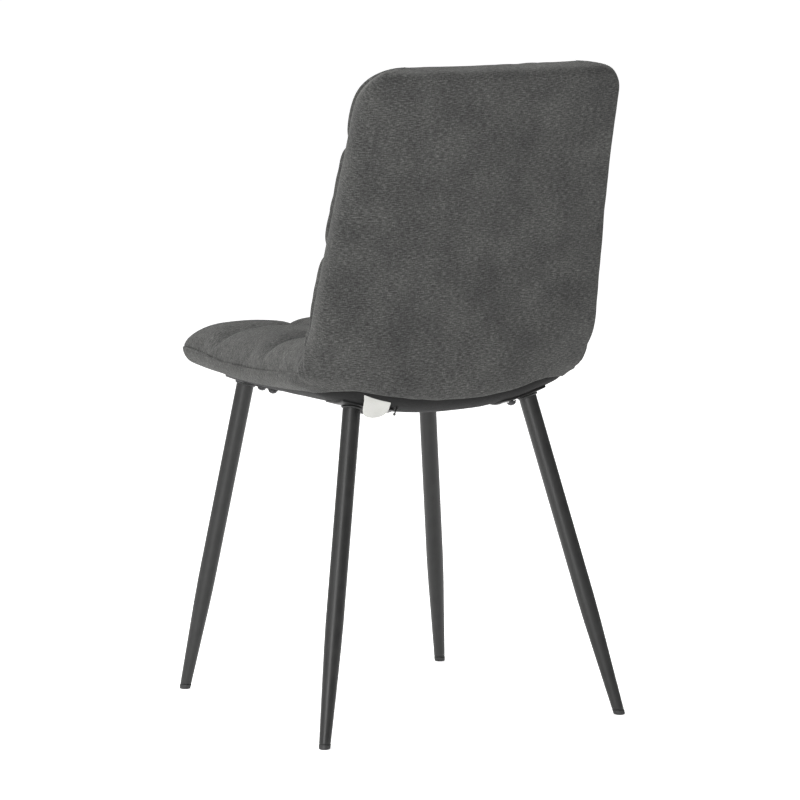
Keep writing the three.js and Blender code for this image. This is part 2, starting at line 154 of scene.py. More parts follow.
def new_object(name, verts, faces, uvs=None):
    mesh = bpy.data.meshes.new(name)
    mesh.from_pydata([tuple(v) for v in verts], [], [tuple(f) for f in faces])
    if uvs is not None:
        layer = mesh.uv_layers.new(name="cloth")
        loops = np.empty(len(mesh.loops), int)
        mesh.loops.foreach_get("vertex_index", loops)
        layer.data.foreach_set("uv", np.asarray(uvs, float)[loops].ravel())
    mesh.update()
    mesh.shade_smooth()
    obj = bpy.data.objects.new(name, mesh)
    bpy.context.scene.collection.objects.link(obj)
    return obj


def grid_faces(n, m, flip=False):
    """Quads of a grid of n rows and m columns."""
    i, j = np.meshgrid(np.arange(n - 1), np.arange(m - 1), indexing="ij")
    a = i * m + j
    f = np.stack([a, a + 1, a + m + 1, a + m], -1).reshape(-1, 4)
    return f[:, ::-1] if flip else f


def grid_normals(grid):
    n = np.cross(np.gradient(grid, axis=1), np.gradient(grid, axis=0))
    return n / np.maximum(np.linalg.norm(n, axis=-1, keepdims=True), 1e-9)


def tube_faces(rows, sides, start=0):
    """Quads between rows of points that each go once around."""
    faces = []
    for k in range(rows - 1):
        for j in range(sides):
            a, b = start + k * sides + j, start + k * sides + (j + 1) % sides
            faces.append((a, b, b + sides, a + sides))
    return faces


def end_faces(rows, sides, start=0):
    """The two faces that close such a tube."""
    last = start + (rows - 1) * sides
    return [tuple(range(start + sides - 1, start - 1, -1)), tuple(range(last, last + sides))]


def apply_modifiers(obj):
    bpy.context.view_layer.update()
    graph = bpy.context.evaluated_depsgraph_get()
    mesh = bpy.data.meshes.new_from_object(obj.evaluated_get(graph), depsgraph=graph)
    old = obj.data
    obj.modifiers.clear()
    obj.data = mesh
    bpy.data.meshes.remove(old)
    mesh.name = obj.name


def subdivide(obj):
    sub = obj.modifiers.new("sub", "SUBSURF")
    sub.levels = sub.render_levels = 1
    apply_modifiers(obj)
    obj.data.shade_smooth()


def thicken(obj, thickness, offset):
    """Give a sheet its thickness in metres, then round it off."""
    solid = obj.modifiers.new("thick", "SOLIDIFY")
    solid.thickness, solid.offset = thickness, offset
    apply_modifiers(obj)
    subdivide(obj)


def drop_points(obj, test):
    """Delete the points for which the test holds, with their faces."""
    bm = bmesh.new()
    bm.from_mesh(obj.data)
    bm.verts.ensure_lookup_table()
    gone = [v for v in bm.verts if test(v)]
    bmesh.ops.delete(bm, geom=gone, context="VERTS")
    bm.to_mesh(obj.data)
    bm.free()


def clean(obj, dist=1e-5):
    """Merge points that coincide and turn all faces outward."""
    bm = bmesh.new()
    bm.from_mesh(obj.data)
    bmesh.ops.remove_doubles(bm, verts=bm.verts, dist=dist)
    bmesh.ops.dissolve_degenerate(bm, edges=bm.edges, dist=1e-6)
    bmesh.ops.recalc_face_normals(bm, faces=bm.faces)
    bm.to_mesh(obj.data)
    bm.free()
    obj.data.shade_smooth()


def waves(p, scale, seed, octaves=3):
    """Smooth seeded noise of points, about -1 to 1, from turned sine waves."""
    rng = np.random.default_rng(seed)
    total = np.zeros(p.shape[:-1])
    amp = 1.0
    for o in range(octaves):
        for _ in range(5):
            d = rng.normal(size=p.shape[-1])
            d /= np.linalg.norm(d)
            k = 2 * math.pi / (scale / (2 ** o)) * rng.uniform(0.7, 1.4)
            total += amp * np.sin(p @ d * k + rng.uniform(0, 6.28)) / 3.0
        amp *= 0.5
    return total


def spaced(stops, step):
    """All the stops, with even steps of about the given size between them."""
    out = [stops[0]]
    for a, b in zip(stops[:-1], stops[1:]):
        n = max(2, round((b - a) / step))
        out += list(a + (b - a) * np.arange(1, n + 1) / n)
    return out


# ---------------------------------------------------------------- the seam between the covers
def seam_t(x, s):
    """Height of the seam over the middle surface."""
    front = 1 - smooth(-OVER_FRONT, 36, s)
    rise = 22 * front * (1 - np.minimum(np.abs(x) / side_half(s), 1) ** 2)
    return 6 + rise + 14 * smooth(BEND_END - 5, BEND_END + 60, s)


def at_corner(s):
    """0 below the top corners, rising to 1 at the top edge."""
    return smooth(LENGTH + OVER_TOP - CORNER_TOP_SEAM, LENGTH + OVER_TOP, s)


def seam_half(s):
    """Half width of the seam line, which lies a little inside the covers' outline."""
    lean = 5.0 * smooth(BEND_END - 5, BEND_END + 60, s) * (1 - at_corner(s))
    return half_width(s) - 0.4 - lean


TOP_LEAN = 2.5           # how far the seam lies in from the top edge
GATHER = np.array([213.0, 150.0, 462.0])        # where the gathers of each side start
GATHER_DEPTH = 2.6       # height of their folds


def gathers(points):
    """Folds that fan out from the lower corner of the back over the seat's side."""
    d = points - GATHER
    dx = np.abs(points[..., 0]) - GATHER[0]
    r = np.hypot(d[..., 1], d[..., 2])
    ang = np.arctan2(d[..., 2], -d[..., 1])
    wave = np.sin(ang * 8.5 + 0.9 * np.sin(ang * 3 + 1) + 0.02 * r)
    wave = np.where(wave > 0, np.abs(wave) ** 1.4, -np.abs(wave) ** 0.8)
    span = np.exp(-((r - 34) / 24) ** 2) * smooth(-0.9, -0.1, ang) * (1 - smooth(1.7, 2.5, ang))
    return wave * span * np.exp(-(dx / 22) ** 2)


# ---------------------------------------------------------------- front cover, quilted
FACE_T = PLY_T / 2 + BACK_PAD_T
TOP_Z = SEAT_Z + PLY_T / 2 + SEAT_PAD_T - 2.0
LC = float(shell(0, CREASE_TOP, FACE_T)[1]) - SEAT_Y0       # path length to the crease
P_FRONT, P_TOP = -OVER_FRONT, LC + LENGTH + OVER_TOP - CREASE_TOP
FLAT_HALF = 175.0        # half width of the front cover's flat part
CHANNEL = 0.3665         # the sewn lines along it, as a share of that half width
PITCH = 146.0            # from one sewn line across it to the next
LINES = [86.0, 86.0 + PITCH, LC, LC + PITCH, LC + 2 * PITCH]
TURN_STEPS = 8           # rows that round each edge
FRONT_DEPTH, TOP_DEPTH = 40.0, 26.0             # how far the rounding reaches in from each end
SIDE_DEPTH_SEAT, SIDE_DEPTH_BACK = 46.0, 26.0   # and from each side
SEAM_TUCK, SEAM_IN = 1.4, 1.0                   # how far its border lies below and inside the seam
PUFF, CHANNEL_DEPTH = 10.5, 5.0                 # relief of the squares and of the sewn lines
CLOTH_SHRINK, CLOTH_FRAMES, CLOTH_CAP = -0.012, 16, 0.004   # negative shrink: larger cloth; cap in metres


def path_s(p):
    """Length along the shell under the front cover's own length."""
    p = np.asarray(p, float)
    knots = [P_FRONT, 250, LC - 12, LC, LC + 40, P_TOP]
    return np.interp(p, knots, [-OVER_FRONT, 250, SEAT_RUN + 30, SEAT_RUN + 52, CREASE_TOP + 40,
                                LENGTH + OVER_TOP])


def front_face(x, p, drop):
    """The face of the front cover, lowered towards the shell by drop."""
    end = shell(x, CREASE_TOP, FACE_T - drop)
    on_back = shell(x, CREASE_TOP + np.maximum(p - LC, 0), FACE_T - drop)
    y = np.where(p < 0, SEAT_Y0 + p, SEAT_Y0 + p * (end[..., 1] - SEAT_Y0) / LC)
    level = TOP_Z - drop
    z = level + (end[..., 2] - level) * smooth(LC - 55, LC, p)
    on_seat = np.stack([np.broadcast_to(x, y.shape), y, z], -1)
    return np.where((p > LC)[..., None], on_back, on_seat)


def front_grid(step=6.0):
    """Points of the front cover before padding, with their flat places and drop at the edges."""
    turns = [math.pi / 2 * k / TURN_STEPS for k in range(TURN_STEPS)]
    rows = [(P_FRONT + FRONT_DEPTH * (1 - math.cos(a)), 1 - math.sin(a)) for a in turns]
    rows += [(q, 0.0) for q in spaced([P_FRONT + FRONT_DEPTH, *LINES, P_TOP - TOP_DEPTH], step)]
    rows += [(P_TOP - TOP_DEPTH * (1 - math.cos(a)), 1 - math.sin(a)) for a in turns[::-1]]
    rows = np.array(rows)
    p, row_drop = rows[:, 0][:, None], rows[:, 1][:, None]
    w = seam_half(path_s(p))
    inset = SIDE_DEPTH_SEAT + (SIDE_DEPTH_BACK - SIDE_DEPTH_SEAT) * smooth(LC - 40, LC + 40, p)
    cols = [("edge", a) for a in turns]
    cols += [("in", f) for f in spaced([0.0, CHANNEL, 1.0], step / FLAT_HALF)[::-1]]
    cols = cols + cols[:-1][::-1]
    signs = [-1] * (len(cols) // 2 + 1) + [1] * (len(cols) // 2)
    xs, drops, flats = [], [], []
    for sign, (kind, v) in zip(signs, cols):
        if kind == "edge":
            xs.append(sign * (w - inset * (1 - math.cos(v))))
            drops.append(np.full_like(w, 1 - math.sin(v)))
            flats.append(sign * (1 + inset / FLAT_HALF * math.cos(v)))
        else:
            xs.append(sign * (w - inset) * v)
            drops.append(np.zeros_like(w))
            flats.append(np.full_like(w, sign * v))
    x, drop, flat = (np.concatenate(v, 1) for v in (xs, drops, flats))
    drop = 1 - (1 - drop) * (1 - row_drop)
    pp = np.broadcast_to(p, x.shape)
    ss = path_s(pp)
    on_back = smooth(LC - 40, LC + 40, pp)

    def wall(seam):
        tall_seat = TOP_Z - seam[..., 2]
        return tall_seat + (FACE_T - 20 - tall_seat) * on_back

    end_tall = wall(shell(np.clip(x, -w, w), ss, seam_t(x, ss)))
    # along the sides the height of the wall is taken at the side's own seam
    side_tall = wall(shell(np.sign(x) * w, ss, seam_t(w, ss)))
    end_share = row_drop / np.maximum(drop, 1e-6)
    tall = np.where(drop > 0, side_tall + (end_tall - side_tall) * end_share, 0)
    slip = TOP_LEAN * at_corner(ss)
    base = front_face(x, pp - slip, drop * tall)
    # the border is drawn in under the seam, and the rows next to it follow less and less
    fades = [(1 - math.sin(math.pi / 2 * k / TURN_STEPS)) ** 1.2 for k in range(TURN_STEPS + 1)]
    for j, inward in ((0, 1), (x.shape[1] - 1, -1)):
        goal = shell(-inward * (w[:, 0] - SEAM_IN), ss[:, j] - slip[:, j],
                     seam_t(w[:, 0], ss[:, j]) - SEAM_TUCK)
        delta = goal - base[:, j]
        for k, fade in enumerate(fades):
            base[:, j + inward * k] += delta * fade
    for i, inward in ((0, 1), (len(rows) - 1, -1)):
        goal = shell(x[i], ss[i] - slip[i] + inward * SEAM_IN, seam_t(x[i], ss[i]) - SEAM_TUCK)
        delta = goal - base[i]
        for k, fade in enumerate(fades):
            base[i + inward * k] += delta * fade
    u = x + np.sign(x) * 0.6 * drop * tall * (1 - end_share)
    v = pp + np.where(pp < LC, -1, 1) * 0.6 * row_drop * tall
    return base, x, pp, flat, np.stack([u, v], -1) * 0.001


def swell(obj, pinned):
    """Blow the cover up with cloth simulation, holding the pinned points; moves are capped."""
    start = np.empty(len(obj.data.vertices) * 3)
    obj.data.vertices.foreach_get("co", start)
    start = start.reshape(-1, 3)
    group = obj.vertex_groups.new(name="pin")
    group.add([int(k) for k in pinned], 1.0, "REPLACE")
    cloth = obj.modifiers.new("cloth", "CLOTH")
    c = cloth.settings
    c.quality = 6
    c.mass = 0.3
    c.tension_stiffness = c.compression_stiffness = 15
    c.shear_stiffness = 6
    c.bending_stiffness = 1.2
    c.air_damping = 2
    c.use_pressure = True
    c.uniform_pressure_force = 4
    c.vertex_group_mass = "pin"
    c.pin_stiffness = 1
    c.shrink_min = CLOTH_SHRINK
    c.effector_weights.gravity = 0
    cloth.collision_settings.use_collision = False
    cloth.collision_settings.use_self_collision = False
    cloth.point_cache.frame_start, cloth.point_cache.frame_end = 1, 20
    for f in range(1, CLOTH_FRAMES + 1):
        bpy.context.scene.frame_set(f)
    apply_modifiers(obj)
    bpy.context.scene.frame_set(1)
    co = np.empty(start.size)
    obj.data.vertices.foreach_get("co", co)
    co = co.reshape(-1, 3)
    move = co - start
    size = np.linalg.norm(move, axis=1, keepdims=True)
    print("cloth moved", round(float(size.max()) * 1000, 1), "mm at most,",
          round(float(size.mean()) * 1000, 2), "on average")
    co = start + move * np.minimum(1, CLOTH_CAP / np.maximum(size, 1e-9))
    obj.data.vertices.foreach_set("co", co.ravel())
    obj.data.update()
    return co


def build_front_cover():
    """The quilted cover of seat and back, with its hidden inner face."""
    base, x, p, flat, uv = front_grid()
    n = grid_normals(base)
    if n[len(n) // 4, n.shape[1] // 2, 2] < 0:
        n = -n
    dx = np.abs(np.abs(flat) - CHANNEL) * FLAT_HALF
    dp = np.min(np.abs(p[..., None] - np.array(LINES)), -1)
    rise = lambda d, r: 1 - np.exp(-(d / r) ** 1.3)
    to_edge = np.maximum(1.26 - np.abs(flat), 0) * FLAT_HALF
    to_end = np.minimum(p - P_FRONT, P_TOP - p)
    puff = rise(dx, 15) * rise(dp, 15) * rise(to_edge, 34) * rise(to_end, 34)
    groove = (1 - rise(np.minimum(dx, dp), 9)) * rise(to_edge, 20) * rise(to_end, 20)
    h = PUFF * puff - CHANNEL_DEPTH * groove
    h = h + 0.7 * waves(np.stack([x, p], -1), 110, 5, 2) * rise(to_edge, 12)
    h = h + GATHER_DEPTH * gathers(base)
    border = np.zeros_like(x, bool)
    border[0, :] = border[-1, :] = border[:, 0] = border[:, -1] = True
    h[border] = 0
    top = base + n * h[..., None]
    # the hidden face inside, shrunk evenly so that no two of its points coincide
    s_low = path_s(p)
    s_low = s_low + np.interp(s_low, [s_low.min(), 60, LENGTH - 60, s_low.max()], [5, 0, 0, -5])
    w_low = half_width(s_low) - 10
    bottom = shell(x * np.minimum(1, w_low / np.abs(x).max(1, keepdims=True)), s_low, 7.5, 150)
    rows_n, cols_n = x.shape
    count = rows_n * cols_n
    verts = place(np.concatenate([top.reshape(-1, 3), bottom.reshape(-1, 3)]))
    faces = [grid_faces(rows_n, cols_n), grid_faces(rows_n, cols_n, True) + count]
    index = np.arange(count).reshape(rows_n, cols_n)
    ring = np.concatenate([index[0, :], index[1:, -1], index[-1, ::-1][1:], index[::-1, 0][1:-1]])
    nxt = np.roll(ring, -1)
    mid = np.arange(len(ring)) + 2 * count
    verts = np.concatenate([verts, verts[ring] * 0.82 + verts[ring + count] * 0.18])
    faces.append(np.stack([nxt, ring, mid, np.roll(mid, -1)], -1))
    faces.append(np.stack([np.roll(mid, -1), mid, ring + count, nxt + count], -1))
    uv = uv.reshape(-1, 2)
    uv = np.concatenate([uv, uv, uv[ring]])
    obj = new_object("front_cover", verts, np.concatenate(faces), uv)
    sewn = ((dx < 0.5) & (np.abs(flat) < 1.2)) | (dp < 0.5) | border
    co = swell(obj, [*np.nonzero(sewn.ravel())[0], *range(count, len(verts))])
    top = co[:count].reshape(rows_n, cols_n, 3) * 1000.0
    top[..., 1] -= Y_SHIFT
    subdivide(obj)
    clean(obj)
    return obj, top, flat, p


# ---------------------------------------------------------------- rear and side cover, plain
HEM_SIDE, HEM_R = 26.0, 60.0                    # the lining's side margin and corner radius
LIP = 0.3                # how far the cover's border stands over the seam
REAR_FRONT_R, REAR_TOP_R = 12.0, 11.0           # rounding of its front and top ends
REAR_HALF = 200.0        # nominal half width, for the spacing of its columns
HEM_STEP, HEM_ROLL = 4.6, 0.9                   # how far it sinks under the lining; the fold's roll
HEM_UNDER = 9.0          # how far it is kept inside the lining's outline
COVER_T, LINING_SHEET_T = 0.0022, 0.0012        # in metres


def hem_distance(x, s):
    """Distance outside the lining's rounded outline under the seat, negative inside it."""
    half_x = HALF_W_SEAT - HEM_SIDE
    s0, s1 = -OVER_FRONT + 27, HEM + hem_lift(x)
    cx, cs = np.abs(x) - (half_x - HEM_R), np.abs(s - (s0 + s1) / 2) - ((s1 - s0) / 2 - HEM_R)
    outside = np.hypot(np.maximum(cx, 0), np.maximum(cs, 0))
    return outside + np.minimum(np.maximum(cx, cs), 0) - HEM_R


def rear_grid(step=5.0):
    """Points of the rear cover before padding, and how far each has climbed to the seam."""
    s_end = LENGTH + OVER_TOP
    walls = [k / 4 for k in range(5)]
    turns = [math.pi / 2 * (k + 1) / 6 for k in range(5)]

    def end_rows(end, sign, r):
        out = [(end, 1 - w, 0.0) for w in walls]
        return out + [(end + sign * r * (1 - math.cos(a)), 0.0, math.sin(a)) for a in turns]

    rows = end_rows(-OVER_FRONT, 1, REAR_FRONT_R)
    stops = [-OVER_FRONT + REAR_FRONT_R, SEAT_RUN - 20, BEND_END + 30, s_end - REAR_TOP_R]
    rows += [(v, 0.0, 1.0) for v in spaced(stops, step)]
    rows += end_rows(s_end, -1, REAR_TOP_R)[::-1]
    rows = np.array(rows)
    s = rows[:, 0][:, None]
    back = smooth(BEND_END - 30, BEND_END + 50, s)
    r = 13.0 - 2.0 * back               # rounding of the sides
    face = 9.3 + 4.7 * smooth(SEAT_RUN + 20, BEND_END + 60, s)      # depth of the face
    cols = [("wall", w) for w in walls] + [("turn", a) for a in turns]
    cols += [("in", f) for f in spaced([0.0, 1.0], step / REAR_HALF)[::-1]]
    cols = cols + cols[:-1][::-1]
    signs = [-1] * (len(cols) // 2 + 1) + [1] * (len(cols) // 2)
    top_t = seam_t(side_half(s), s) + LIP
    low_t = -face + r
    # above this height the side wall leans in, along an arc of this radius
    centre = 3.0 + 1.0 * (1 - back)
    big = 14.0 + 16.0 * back
    ts = []
    for sign, (kind, v) in zip(signs, cols):
        if kind == "wall":
            ts.append(top_t + (low_t - top_t) * v)
        elif kind == "turn":
            ts.append(-face + r * (1 - math.sin(v)))
        else:
            ts.append(-face + 0 * s)
    t_col = np.concatenate(ts, 1)
    ss = np.broadcast_to(s, t_col.shape).copy()
    # the end rows climb to the seam too
    wall_share, turned = rows[:, 1][:, None], rows[:, 2][:, None]
    rough_x = np.linspace(-1, 1, t_col.shape[1])[None, :] * half_width(s)
    full = seam_t(rough_x, ss) + LIP + face
    low_share = r / full
    row_climb = np.where(turned > 0, (1 - turned) * low_share,
                         low_share + (1 - low_share) * wall_share)
    climb = (t_col + face) / np.maximum(top_t + face, 1)
    climb = 1 - (1 - np.clip(climb, 0, 1)) * (1 - row_climb)
    lean = np.clip((climb - low_share) / (1 - low_share), 0, 1)
    w = half_width(s, CORNER_TOP_REAR + (CORNER_TOP_SEAM - CORNER_TOP_REAR) * lean)
    k = at_corner(ss)
    xs = []
    for j, (sign, (kind, v)) in enumerate(zip(signs, cols)):
        wj = w[:, j:j + 1]
        if kind == "wall":
            up = np.clip(t_col[:, j:j + 1] - centre, 0, big)
            cut = big - np.sqrt(np.maximum(big ** 2 - up ** 2, 0))
            xs.append(sign * (wj - cut * (1 - k[:, j:j + 1])))
        elif kind == "turn":
            xs.append(sign * (wj - r * (1 - math.cos(v))))
        else:
            xs.append(sign * (wj - r) * v)
    x = np.concatenate(xs, 1)
    t = -face + climb * (seam_t(x, ss) + LIP + face)
    side_len = np.where(t_col > -face, t_col + face, 0)
    row_len = row_climb * full * np.where(ss > SEAT_RUN, 1, -1)
    uv = np.stack([x + np.sign(x) * side_len, ss + row_len], -1) * 0.001
    return shell(x, ss - TOP_LEAN * k * lean ** 1.7, t), x, ss, back, climb, uv


def build_rear_cover():
    """The plain cover of the back, the sides and the rim under the seat."""
    base, x, s, back, climb, uv = rear_grid()
    n = grid_normals(base)
    if n[len(n) // 2 + 20, n.shape[1] // 2, 1] < 0:
        n = -n
    q = np.stack([x, s], -1)
    g = hem_distance(x, s) + 1.2 * waves(q, 70, 21, 2)
    low = 1 - smooth(-3.5, 2.0, g)
    roll = np.exp(-((g - 5.0) / 4.0) ** 2) * (1 - smooth(40, 90, s - HEM))
    h = -HEM_STEP * low + HEM_ROLL * roll
    h = h + (0.9 * waves(q, 170, 31, 2) + 0.22 * waves(q, 42, 32, 2)) * (1 - low) * (0.4 + 0.6 * back)
    h = h + 0.35 * np.sin(s / 5.5 + 2.0 * waves(q, 60, 43, 2)) * climb * (1 - back) * \
        smooth(0.05, 0.3, climb)
    h = h + GATHER_DEPTH * gathers(base)
    border = np.zeros_like(x, bool)
    border[0, :] = border[-1, :] = border[:, 0] = border[:, -1] = True
    h[border] = 0
    outer = base + n * h[..., None]
    faces = grid_faces(*x.shape, True)
    keep = (g.ravel()[faces] > -HEM_UNDER).any(1)
    obj = new_object("rear_side_cover", place(outer.reshape(-1, 3)), faces[keep],
                     uv.reshape(-1, 2))
    clean(obj)
    drop_points(obj, lambda v: not v.link_faces)
    behind = next(f for f in obj.data.polygons if abs(f.center.x) < 0.05 and f.center.z > 0.6)
    if behind.normal.y < 0:
        obj.data.flip_normals()
    thicken(obj, COVER_T, -1)
    return obj


def build_lining():
    """The thin black lining under the seat, its edge bent up behind the hem."""
    s = np.array(spaced([-OVER_FRONT + 22, SEAT_RUN - 20, HEM + 4], 7.0))[:, None]
    w = HALF_W_SEAT - HEM_SIDE + 5
    x = np.linspace(-w, w, 57)[None, :]
    x, s = np.broadcast_arrays(x, s)
    s = s + hem_lift(x) * smooth(SEAT_RUN - 40, HEM, s)
    q = np.stack([x, s], -1)
    g = hem_distance(x, s)
    t = -PLY_T / 2 - SKIN_GAP - LINING_T + 0.2 + 0.35 * waves(q, 70, 51)
    t = t + 3.0 * smooth(-3.0, 3.0, g)
    obj = new_object("seat_lining", place(shell(x, s, t).reshape(-1, 3)),
                     grid_faces(*x.shape, True), q.reshape(-1, 2) * 0.001)
    outside = g.ravel()
    drop_points(obj, lambda v: outside[v.index] > 7.5)
    thicken(obj, LINING_SHEET_T, 1)
    return obj


front, front_top, front_flat, front_p = build_front_cover()
rear = build_rear_cover()
lining = build_lining()
for o, nodes in ((front, ("seat_pad", "back_pad")), (rear, ("rear_cover",)),
                 (lining, ("under_lining",))):
    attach(o, "root")
    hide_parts(*nodes)


# ---------------------------------------------------------------- legs and hardware
UNDER_T = -PLY_T / 2 - LINING_T - 2 * SKIN_GAP          # top of the mounting plates
PLATE_LOW = UNDER_T - PLATE_T
BELOW_PLATE = PLATE_LOW - 0.3           # where the tubes and the washers start
R_TOP, R_FOOT = LEG_D / 2, LEG_FOOT_D / 2
LEG_SIDES, WELD_SIDES = 72, 8           # points around a leg, and around its weld bead
WELD_R = 1.9
GLIDE_ROWS = [(0.0, -6.0), (0.0, -1.6), (0.25, -0.7), (0.8, -0.15), (1.7, 0.1),
              (GLIDE_Z - 1.6, 0.35), (GLIDE_Z - 0.7, 0.3), (GLIDE_Z - 0.25, -0.2),
              (GLIDE_Z - 0.2, -4)]      # height, and how far outside the leg's foot


def under(x, y, t):
    """Length along the shell of the point under the seat at x, y."""
    s = np.asarray(y, float) - SEAT_Y0
    for _ in range(40):
        s = s + (y - shell(x, s, t)[..., 1])
    return s


def basis(axis):
    """Two directions across the axis, and the axis itself, all of length 1."""
    axis = np.asarray(axis, float) / np.linalg.norm(axis)
    e1 = np.cross(axis, [0, 1, 0])
    e1 /= np.linalg.norm(e1)
    return e1, np.cross(axis, e1), axis


def lathe(name, profile_pts, origin, axes, segments=48, hexed=()):
    """Turned solid from (radius, height) points; listed points follow a hexagon instead."""
    e1, e2, e3 = axes
    ang = np.linspace(0, 2 * math.pi, segments, endpoint=False)
    turn = (ang + math.pi / 6) % (math.pi / 3) - math.pi / 6
    verts = []
    for k, (rad_k, h) in enumerate(profile_pts):
        rad_a = rad_k / np.cos(turn) if k in hexed else np.full_like(ang, rad_k)
        verts.append(origin + np.outer(rad_a * np.cos(ang), e1) + np.outer(rad_a * np.sin(ang), e2)
                     + h * e3)
    obj = new_object(name, place(np.concatenate(verts)), tube_faces(len(profile_pts), segments))
    clean(obj, 2e-6)
    return obj


def sharp_shading(obj, degrees=40):
    """Smooth shading, but for edges sharper than the angle."""
    obj.data.shade_smooth()
    bm = bmesh.new()
    bm.from_mesh(obj.data)
    for e in bm.edges:
        e.smooth = not (len(e.link_faces) == 2 and e.calc_face_angle(0) > math.radians(degrees))
    bm.to_mesh(obj.data)
    bm.free()


def fine_copy(node, name, width):
    """A bevelled copy of a CAD node, for softened metal edges."""
    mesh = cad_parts[node].data.copy()
    obj = bpy.data.objects.new(name, mesh)
    bpy.context.scene.collection.objects.link(obj)
    clean(obj, 1e-6)
    bev = obj.modifiers.new("bevel", "BEVEL")
    bev.width, bev.segments, bev.limit_method = width, 2, "ANGLE"
    bev.angle_limit = math.radians(35)
    apply_modifiers(obj)
    sharp_shading(obj)
    return obj


def leg_radius(h, taper):
    """Radius of a leg at length h, with a faint neck where its taper ends."""
    k = np.clip(h / taper, 0, 1.3)
    straight = R_FOOT + (R_TOP - R_FOOT) * np.minimum(k, 1)
    return straight - 0.25 * np.exp(-((k - 1) / 0.06) ** 2)


def build_tube(tag, base, ring, d):
    """One leg, from its glide to its plate, with the weld bead."""
    taper = TAPER_Z / d[2]
    low, high = np.full(LEG_SIDES, GLIDE_Z / d[2]), np.full(LEG_SIDES, SEAT_Z / d[2])
    for _ in range(12):
        low = (GLIDE_Z + 0.1 - leg_radius(low, taper) * ring[:, 2]) / d[2]
        top = base + high[:, None] * d + R_TOP * ring
        s = under(top[:, 0], top[:, 1], BELOW_PLATE)
        high = high + (shell(top[:, 0], s, BELOW_PLATE)[:, 2] - top[:, 2]) / d[2]
    # the first two rows are drawn in, to round off the lower edge
    steps = [0.0, 0.0008, 0.003, *np.linspace(0.02, 1, 46)]
    insets = [0.5, 0.12] + [0] * (len(steps) - 2)
    verts = []
    for f, inset in zip(steps, insets):
        h = low + (high - low) * f
        verts.append(base + h[:, None] * d + (leg_radius(h, taper) - inset)[:, None] * ring)
    faces = tube_faces(len(steps), LEG_SIDES) + end_faces(len(steps), LEG_SIDES)
    # the weld bead where the tube meets its plate
    start = len(steps) * LEG_SIDES
    size = WELD_R + 0.28 * np.sin(np.linspace(0, 2 * math.pi, LEG_SIDES, endpoint=False) * 26)
    for m in range(WELD_SIDES):
        a = 2 * math.pi * m / WELD_SIDES
        off_r = R_TOP + 0.3 + size * math.cos(a)
        off_h = np.minimum(high - 0.7 + size * math.sin(a), high + 0.1)
        verts.append(base + off_h[:, None] * d + off_r[:, None] * ring)
        here, there = start + m * LEG_SIDES, start + (m + 1) % WELD_SIDES * LEG_SIDES
        for j in range(LEG_SIDES):
            j2 = (j + 1) % LEG_SIDES
            faces.append((here + j, there + j, there + j2, here + j2))
    leg = new_object(f"tube_{tag}", place(np.concatenate(verts)), faces)
    clean(leg, 2e-6)
    sharp_shading(leg, 50)
    return leg


def build_glide(tag, base, ring, d):
    """Moulded glide: an oblique cup, flat on the floor, with a rounded rim."""
    verts = []
    for z, grow in GLIDE_ROWS:
        pts = base + (R_FOOT + grow) * ring
        verts.append(pts + ((z - pts[:, 2]) / d[2])[:, None] * d)
    rows = len(GLIDE_ROWS)
    faces = tube_faces(rows, LEG_SIDES) + end_faces(rows, LEG_SIDES)
    glide = new_object(f"foot_glide_{tag}", place(np.concatenate(verts)), faces)
    clean(glide, 2e-6)
    return glide


def bolt_axes(x, s):
    """Directions across, along and square to the shell at a bolt."""
    e = 0.5
    across = shell(x + e, s, 0, 150) - shell(x - e, s, 0, 150)
    along = shell(x, s + e, 0, 150) - shell(x, s - e, 0, 150)
    across /= np.linalg.norm(across)
    along /= np.linalg.norm(along)
    normal = np.cross(across, along)
    normal /= np.linalg.norm(normal)
    return across, np.cross(normal, across), normal


def build_bolt(name, origin, axes):
    """Domed bolt with a hexagon socket."""
    head = BELOW_PLATE - WASHER_T - 0.05
    low, r, shank = head - HEAD_H, HEAD_D / 2, BOLT_D / 2
    pts = [(0.0, low + 2.6), (1.9, low + 2.6), (2.0, low + 0.5), (2.25, low + 0.35)]
    pts += [(r * math.sin(a), head - 0.7 - (HEAD_H - 1.1) * math.cos(a))
            for a in np.linspace(0.55, math.pi / 2, 7)]
    pts += [(r, head - 0.25), (r - 0.3, head), (shank, head), (shank, 2.6), (shank - 0.6, 3.0),
            (0.0, 3.0)]
    bolt = lathe(name, pts, origin, axes, hexed=(1, 2))
    sharp_shading(bolt, 45)
    return bolt


def build_washer(name, origin, axes):
    top, low = BELOW_PLATE, BELOW_PLATE - WASHER_T
    ri, ro = BOLT_D / 2 + 0.3, WASHER_D / 2
    pts = [(ri, low), (ro - 0.35, low), (ro, low + 0.35), (ro, top - 0.2), (ro - 0.2, top),
           (ri, top), (ri, low)]
    washer = lathe(name, pts, origin, axes)
    sharp_shading(washer, 50)
    return washer


